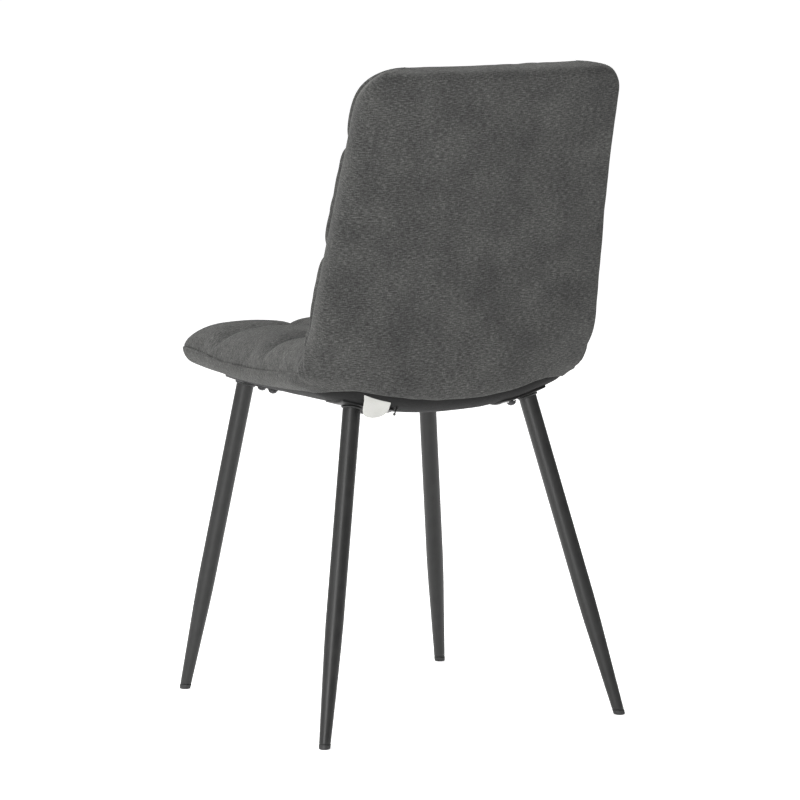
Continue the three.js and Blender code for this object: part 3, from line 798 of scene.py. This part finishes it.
def build_leg(tag, foot, splay):
    """All pieces of one leg, each with the node it replaces and its slot."""
    side, end = (1 if foot[0] > 0 else -1), (1 if foot[1] > 0 else -1)
    e1, e2, d = basis([-splay[0] * side, -splay[1], 1.0])
    base = np.array([foot[0], foot[1], 0.0])
    ang = np.linspace(0, 2 * math.pi, LEG_SIDES, endpoint=False)
    ring = np.outer(np.cos(ang), e1) + np.outer(np.sin(ang), e2)
    out = [(build_tube(tag, base, ring, d), f"leg_{tag}", "legs"),
           (build_glide(tag, base, ring, d), f"glide_{tag}", "glides"),
           (fine_copy(f"leg_plate_{tag}", f"plate_{tag}", 0.0006), f"leg_plate_{tag}", "legs")]
    x = foot[0] - splay[0] * side * SEAT_Z - side * BOLT_INSET
    cy = foot[1] - splay[1] * SEAT_Z - end * PLATE_SHIFT
    for k in (-1, 1):
        which = "outer" if k == end else "inner"
        past = cy + k * BOLT_SPREAD - SEAT_Y0 - SEAT_RUN
        s = SEAT_RUN + (BEND_R * math.asin(min(past / BEND_R, 1)) if past > 0 else past)
        origin, axes = shell(x, s, 0, 150), bolt_axes(x, s)
        out.append((build_bolt(f"screw_{tag}_{which}", origin, axes),
                    f"bolt_{tag}_{which}", "fasteners"))
        out.append((build_washer(f"ring_{tag}_{which}", origin, axes),
                    f"washer_{tag}_{which}", "fasteners"))
    return out


hardware = []
for tag, foot, splay in (("rear_left", REAR_FOOT, REAR_SPLAY),
                         ("rear_right", (-REAR_FOOT[0], REAR_FOOT[1]), REAR_SPLAY),
                         ("front_left", FRONT_FOOT, FRONT_SPLAY),
                         ("front_right", (-FRONT_FOOT[0], FRONT_FOOT[1]), FRONT_SPLAY)):
    hardware += build_leg(tag, foot, splay)
for o, node, slot in hardware:
    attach(o, "root")
    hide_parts(node)


# ---------------------------------------------------------------- stitches along the channels
STITCH = [(0.0, -0.3, 0.18), (0.5, 0.45, 0.5), (1.7, 0.7, 0.55), (2.9, 0.45, 0.5),
          (3.4, -0.3, 0.18)]            # place along the thread, height, radius
STITCH_PITCH, STITCH_SIDES = 4.6, 6


def build_stitches():
    """Short raised threads along the sewn lines, but for the crease."""
    rows, cols = front_flat.shape
    row_p = front_p[:, 0]
    paths = []
    for sign in (-1, 1):
        j = int(np.argmin(np.abs(front_flat[rows // 2] - sign * CHANNEL)))
        paths.append(front_top[8:rows - 8, j])
    for line in LINES:
        i = int(np.argmin(np.abs(row_p - line)))
        if abs(line - LC) > 1:
            paths.append(front_top[i, 7:cols - 7])
    verts, faces = [], []
    ang = np.linspace(0, 2 * math.pi, STITCH_SIDES, endpoint=False)
    for path in paths:
        seg = np.linalg.norm(np.diff(path, axis=0), axis=1)
        cum = np.concatenate([[0], np.cumsum(seg)])
        pos = 0.0
        while pos + STITCH[-1][0] < cum[-1]:
            pts = np.array([[np.interp(pos + f, cum, path[:, c]) for c in range(3)]
                            for f, _, _ in STITCH])
            d = pts[-1] - pts[0]
            d /= np.linalg.norm(d)
            up = np.array([0, -1.0, 0.35]) if pts[0][2] > TOP_Z + 10 else np.array([0, 0, 1.0])
            side = np.cross(d, up)
            side /= np.linalg.norm(side)
            up = np.cross(side, d)
            start = len(verts)
            for q, (_, lift, r) in zip(pts, STITCH):
                for a in ang:
                    verts.append(q + up * (lift + 0.5 + r * math.sin(a)) + side * r * math.cos(a))
            faces += tube_faces(len(STITCH), STITCH_SIDES, start)
            faces += end_faces(len(STITCH), STITCH_SIDES, start)
            pos += STITCH_PITCH
    obj = new_object("channel_stitches", place(np.array(verts)), faces)
    clean(obj, 1e-7)
    return obj


stitches = build_stitches()
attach(stitches, "root")


# ---------------------------------------------------------------- label
TAG_SHIFT = 4.0          # how far it hangs lower, and nearer the middle, than in the CAD model
TAG_SHEET_T = 0.0007     # in metres


def build_label():
    """The blank hanging label: a strip with a rounded lower end, its top behind the hem."""
    vs = np.concatenate([np.linspace(-TAG_TUCK, 0, 6), np.linspace(0, TAG_DROP, 15)[1:]])
    us = np.linspace(-1, 1, 21)
    k = np.clip((vs - TAG_DROP * 0.3) / (TAG_DROP * 0.7), 0, 1)
    half = TAG_W / 2 * np.sqrt(np.maximum(1 - (k ** 1.6 * 0.985) ** 2, 0.0))
    x = TAG_X + 3.0 * np.clip(vs / TAG_DROP, 0, 1)[:, None] + us[None, :] * half[:, None]
    v = np.broadcast_to(vs[:, None], x.shape)
    s0 = HEM + hem_lift(TAG_X) - 6.0
    anchor = shell(TAG_X, s0, -12.0)
    up = shell(x, s0 - np.minimum(v, 0) * 0.2, -11.6)
    curl = 1.2 * np.sin(x / 9.0) * np.clip(v / TAG_DROP, 0, 1)
    y = anchor[1] - 2.5 - 0.16 * np.maximum(v, 0) + curl
    behind_hem = (up[..., 2] - anchor[2]) * np.clip(1 - v / 14, 0, 1)
    z = anchor[2] + behind_hem - v * 0.98 - TAG_SHIFT
    x = x - TAG_SHIFT
    obj = new_object("blank_label", place(np.stack([x, y, z], -1).reshape(-1, 3)),
                     grid_faces(*x.shape), np.stack([x, v], -1).reshape(-1, 2) * 0.001)
    thicken(obj, TAG_SHEET_T, 0)
    return obj


label = build_label()
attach(label, "root")
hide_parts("label")


# ---------------------------------------------------------------- materials
class Shader:
    """A Principled material with a few helpers for its procedural detail."""

    def __init__(self, name, color, roughness, metallic=0.0, specular=0.5):
        self.m = bpy.data.materials.new(name)
        self.m.use_nodes = True
        self.t = self.m.node_tree
        self.b = self.t.nodes["Principled BSDF"]
        self.b.inputs["Base Color"].default_value = (*color, 1)
        self.b.inputs["Roughness"].default_value = roughness
        self.b.inputs["Metallic"].default_value = metallic
        self.b.inputs["Specular IOR Level"].default_value = specular
        self.bump_in = None

    def node(self, kind, **values):
        n = self.t.nodes.new(kind)
        for k, v in values.items():
            if k in n.inputs:
                n.inputs[k].default_value = v
            else:
                setattr(n, k, v)
        return n

    def link(self, a, b):
        self.t.links.new(a, b)

    def coords(self, scale, uv=None):
        src = self.node("ShaderNodeUVMap", uv_map=uv).outputs["UV"] if uv else \
            self.node("ShaderNodeTexCoord").outputs["Object"]
        mp = self.node("ShaderNodeMapping")
        mp.inputs["Scale"].default_value = scale
        self.link(src, mp.inputs["Vector"])
        return mp.outputs["Vector"]

    def noise(self, vec, scale=1.0, detail=3.0, rough=0.55, distortion=0.0):
        n = self.node("ShaderNodeTexNoise")
        n.inputs["Scale"].default_value = scale
        n.inputs["Detail"].default_value = detail
        n.inputs["Roughness"].default_value = rough
        n.inputs["Distortion"].default_value = distortion
        self.link(vec, n.inputs["Vector"])
        return n.outputs["Fac"]

    def wave(self, vec, scale, direction, distortion=0.0, detail=0.0):
        n = self.node("ShaderNodeTexWave", wave_type="BANDS", bands_direction=direction)
        n.inputs["Scale"].default_value = scale
        n.inputs["Distortion"].default_value = distortion
        n.inputs["Detail"].default_value = detail
        self.link(vec, n.inputs["Vector"])
        return n.outputs["Fac"]

    def math(self, op, a, b):
        n = self.node("ShaderNodeMath", operation=op)
        for k, v in enumerate((a, b)):
            if isinstance(v, (int, float)):
                n.inputs[k].default_value = v
            else:
                self.link(v, n.inputs[k])
        return n.outputs[0]

    def ramp(self, fac, stops):
        n = self.node("ShaderNodeValToRGB")
        e = n.color_ramp.elements
        while len(e) < len(stops):
            e.new(0.5)
        for el, (pos, col) in zip(e, stops):
            el.position = pos
            el.color = (*col, 1)
        self.link(fac, n.inputs["Fac"])
        return n.outputs["Color"]

    def tint(self, fac, low, high):
        """Base colour between two colours, each given with its place on the ramp."""
        self.link(self.ramp(fac, [low, high]), self.b.inputs["Base Color"])

    def mix(self, fac, a, b, mode="MIX"):
        n = self.node("ShaderNodeMix", data_type="RGBA", blend_type=mode)
        for sock, v in ((n.inputs[0], fac), (n.inputs[6], a), (n.inputs[7], b)):
            if isinstance(v, (int, float)):
                sock.default_value = v
            elif isinstance(v, tuple):
                sock.default_value = (*v, 1)
            else:
                self.link(v, sock)
        return n.outputs[2]

    def roughness(self, fac, low, high):
        n = self.node("ShaderNodeMapRange")
        n.inputs["To Min"].default_value = low
        n.inputs["To Max"].default_value = high
        self.link(fac, n.inputs["Value"])
        self.link(n.outputs["Result"], self.b.inputs["Roughness"])

    def bump(self, height, strength, distance):
        n = self.node("ShaderNodeBump")
        n.inputs["Strength"].default_value = strength
        n.inputs["Distance"].default_value = distance
        self.link(height, n.inputs["Height"])
        if self.bump_in:
            self.link(self.bump_in, n.inputs["Normal"])
        self.bump_in = n.outputs["Normal"]
        self.link(self.bump_in, self.b.inputs["Normal"])


def chenille(name, thread=False):
    """Dark grey melange chenille: short crosswise flecks on a fine plain weave."""
    m = Shader(name, (0.08, 0.08, 0.078), 0.92, specular=0.08)
    m.b.inputs["Sheen Weight"].default_value = 0.12
    m.b.inputs["Sheen Roughness"].default_value = 0.42
    m.b.inputs["Sheen Tint"].default_value = (0.78, 0.78, 0.75, 1)
    if thread:
        vec = m.coords((1, 1, 1))
        m.tint(m.noise(vec, 900, 2), (0.3, (0.035, 0.035, 0.034)), (0.7, (0.085, 0.085, 0.082)))
        m.bump(m.noise(vec, 1400, 1), 0.5, 0.0003)
        return m.m
    fleck = m.noise(m.coords((150, 760, 1), "cloth"), 1.0, 3, 0.6, 0.2)
    fine = m.noise(m.coords((640, 300, 1), "cloth"), 1.0, 3, 0.6)
    warp = m.wave(m.coords((1, 1, 1), "cloth"), 250, "X", 0.35, 1.0)
    weft = m.wave(m.coords((1, 1, 1), "cloth"), 300, "Y", 0.35, 1.0)
    weave = m.math("MULTIPLY", m.math("ADD", warp, 0.35), m.math("ADD", weft, 0.35))
    broad = m.noise(m.coords((1, 1, 1), "cloth"), 16, 3, 0.5)
    tone = m.math("ADD", m.math("MULTIPLY", fleck, 0.66), m.math("MULTIPLY", fine, 0.34))
    color = m.ramp(tone, [(0.35, (0.023, 0.023, 0.0227)), (0.46, (0.042, 0.042, 0.0412)),
                          (0.54, (0.062, 0.0622, 0.0605)), (0.66, (0.118, 0.118, 0.1145))])
    shade = m.ramp(broad, [(0.3, (0.82, 0.82, 0.825)), (0.7, (1.2, 1.2, 1.185))])
    color = m.mix(1.0, color, shade, "MULTIPLY")
    gaps = m.ramp(weave, [(0.10, (0.72, 0.72, 0.72)), (0.55, (1.05, 1.05, 1.05))])
    m.link(m.mix(1.0, color, gaps, "MULTIPLY"), m.b.inputs["Base Color"])
    m.bump(fleck, 0.45, 0.0009)
    m.bump(fine, 0.35, 0.0007)
    m.bump(weave, 0.5, 0.0004)
    m.roughness(fine, 0.82, 1.0)
    return m.m


def powder(name):
    """Black powder coat, faintly uneven."""
    m = Shader(name, (0.01, 0.01, 0.0098), 0.42, specular=0.4)
    vec = m.coords((1, 1, 1))
    grain = m.noise(vec, 1500, 2, 0.6)
    soft = m.noise(vec, 60, 3, 0.5)
    m.tint(soft, (0.3, (0.008, 0.008, 0.0078)), (0.7, (0.013, 0.013, 0.0126)))
    m.roughness(soft, 0.36, 0.5)
    m.bump(grain, 0.18, 0.00025)
    return m.m


def plastic(name):
    """Black moulded plastic."""
    m = Shader(name, (0.012, 0.012, 0.012), 0.55)
    vec = m.coords((1, 1, 1))
    m.tint(m.noise(vec, 220, 3), (0.3, (0.009, 0.009, 0.009)), (0.7, (0.019, 0.019, 0.019)))
    m.bump(m.noise(vec, 1800, 2), 0.25, 0.0002)
    return m.m


def felt(name):
    """Black non-woven lining."""
    m = Shader(name, (0.012, 0.012, 0.012), 0.95, specular=0.15)
    vec = m.coords((1, 1, 1), "cloth")
    fibre = m.noise(m.coords((300, 900, 1), "cloth"), 1.0, 5, 0.7, 1.5)
    m.tint(fibre, (0.3, (0.005, 0.005, 0.005)), (0.72, (0.018, 0.018, 0.018)))
    m.bump(fibre, 0.5, 0.0005)
    m.bump(m.noise(vec, 45, 2), 0.3, 0.0015)
    m.b.inputs["Sheen Weight"].default_value = 0.04
    return m.m


def black_zinc(name):
    """Dark zinc plating."""
    m = Shader(name, (0.035, 0.035, 0.037), 0.36, 0.65)
    vec = m.coords((1, 1, 1))
    m.tint(m.noise(vec, 350, 3), (0.3, (0.022, 0.022, 0.024)), (0.7, (0.06, 0.06, 0.062)))
    m.bump(m.noise(vec, 2200, 1), 0.12, 0.0001)
    return m.m


def woven_label(name):
    """Off-white plain weave."""
    m = Shader(name, (0.58, 0.58, 0.555), 0.85, specular=0.15)
    vec = m.coords((1, 1, 1), "cloth")
    weave = m.math("MULTIPLY", m.wave(vec, 520, "X"), m.wave(vec, 520, "Y"))
    m.tint(weave, (0.0, (0.46, 0.46, 0.44)), (0.8, (0.62, 0.62, 0.59)))
    m.bump(weave, 0.4, 0.0002)
    return m.m


def beech_ply(name):
    """Beech with a hint of its layers."""
    m = Shader(name, (0.5, 0.34, 0.2), 0.6)
    grain = m.noise(m.coords((40, 8, 40)), 1.0, 6, 0.6, 1.2)
    layers = m.wave(m.coords((0.2, 1, 1)), 95, "Z", 2.0, 2.0)
    color = m.ramp(grain, [(0.3, (0.36, 0.23, 0.12)), (0.7, (0.58, 0.41, 0.25))])
    m.link(m.mix(m.math("MULTIPLY", layers, 0.25), color, (0.3, 0.19, 0.1)),
           m.b.inputs["Base Color"])
    m.bump(grain, 0.2, 0.0004)
    return m.m


M = {"fabric": chenille("melange_chenille"), "thread": chenille("polyester_thread", True),
     "legs": powder("black_powder_coat"), "glides": plastic("black_moulded_plastic"),
     "lining": felt("black_non_woven"), "fasteners": black_zinc("black_zinc"),
     "label": woven_label("woven_label"), "plywood": beech_ply("moulded_plywood")}


def paint(obj, mat):
    obj.data.materials.clear()
    obj.data.materials.append(mat)


for o in (front, rear):
    paint(o, M["fabric"])
paint(stitches, M["thread"])
paint(lining, M["lining"])
paint(label, M["label"])
for o, node, slot in hardware:
    paint(o, M[slot])
for node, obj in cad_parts.items():
    if node == "shell_ply":
        paint(obj, M["plywood"])
    elif node.startswith("tnut"):
        paint(obj, M["fasteners"])
    elif node == "label_tie":
        paint(obj, M["glides"])

# ---------------------------------------------------------------- camera, light, floor
scene = bpy.context.scene
EYE = (2.7059, 4.7881 + Y_SHIFT * 0.001, 1.1235)
AIM = (0, Y_SHIFT * 0.001, 0.41676)
LENS, SENSOR, SHIFT_X = 183.88, 36, 0.0102
WORLD_DIM, WORLD_BRIGHT = 0.22, 0.72            # strength towards -X and towards +X
FLOOR_HALF, FLOOR_GLOW = 40, 0.62


def towards(a, b):
    return (Vector(b) - Vector(a)).to_track_quat("-Z", "Y").to_euler()


def build_camera():
    data = bpy.data.cameras.new("camera")
    data.sensor_width, data.lens, data.shift_x, data.clip_end = SENSOR, LENS, SHIFT_X, 100
    cam = bpy.data.objects.new("camera", data)
    scene.collection.objects.link(cam)
    scene.camera = cam
    cam.location = EYE
    cam.rotation_euler = towards(EYE, AIM)


def build_world():
    """A white surround that grows brighter from one side to the other."""
    world = bpy.data.worlds.new("studio")
    scene.world = world
    world.use_nodes = True
    tree = world.node_tree
    sky = tree.nodes["Background"]
    sky.inputs["Color"].default_value = (1, 1, 1, 1)
    coord = tree.nodes.new("ShaderNodeTexCoord")
    split = tree.nodes.new("ShaderNodeSeparateXYZ")
    span = tree.nodes.new("ShaderNodeMapRange")
    span.inputs["From Min"].default_value, span.inputs["From Max"].default_value = -1.0, 1.0
    span.inputs["To Min"].default_value = WORLD_DIM
    span.inputs["To Max"].default_value = WORLD_BRIGHT
    tree.links.new(coord.outputs["Generated"], split.inputs["Vector"])
    tree.links.new(split.outputs["X"], span.inputs["Value"])
    tree.links.new(span.outputs["Result"], sky.inputs["Strength"])


def area(name, location, target, size, power):
    data = bpy.data.lights.new(name, "AREA")
    data.shape = "RECTANGLE"
    data.size, data.size_y = size
    data.energy = power
    o = bpy.data.objects.new(name, data)
    o.location = location
    o.rotation_euler = towards(location, target)
    scene.collection.objects.link(o)


def build_floor():
    """A pale floor with a glow of its own, so that it stays white."""
    h = FLOOR_HALF
    mesh = bpy.data.meshes.new("floor")
    mesh.from_pydata([(-h, -h, 0), (h, -h, 0), (h, h, 0), (-h, h, 0)], [], [(0, 1, 2, 3)])
    obj = bpy.data.objects.new("floor", mesh)
    scene.collection.objects.link(obj)
    pale = Shader("pale_floor", (0.9, 0.9, 0.9), 0.9, specular=0.0)
    pale.b.inputs["Emission Color"].default_value = (1, 1, 1, 1)
    pale.b.inputs["Emission Strength"].default_value = FLOOR_GLOW
    obj.data.materials.append(pale.m)
    return obj


build_camera()
build_world()
area("key", (3.6, 0.2, 2.2), (0, 0, 0.5), (1.6, 2.6), 16)
area("strip", (3.2, 2.7, 1.3), (0, 0, 0.45), (0.42, 2.2), 100)
area("top", (0.3, -0.6, 3.4), (0, 0, 0.5), (2.6, 2.6), 125)
floor = build_floor()
scene.view_settings.view_transform = "Standard"
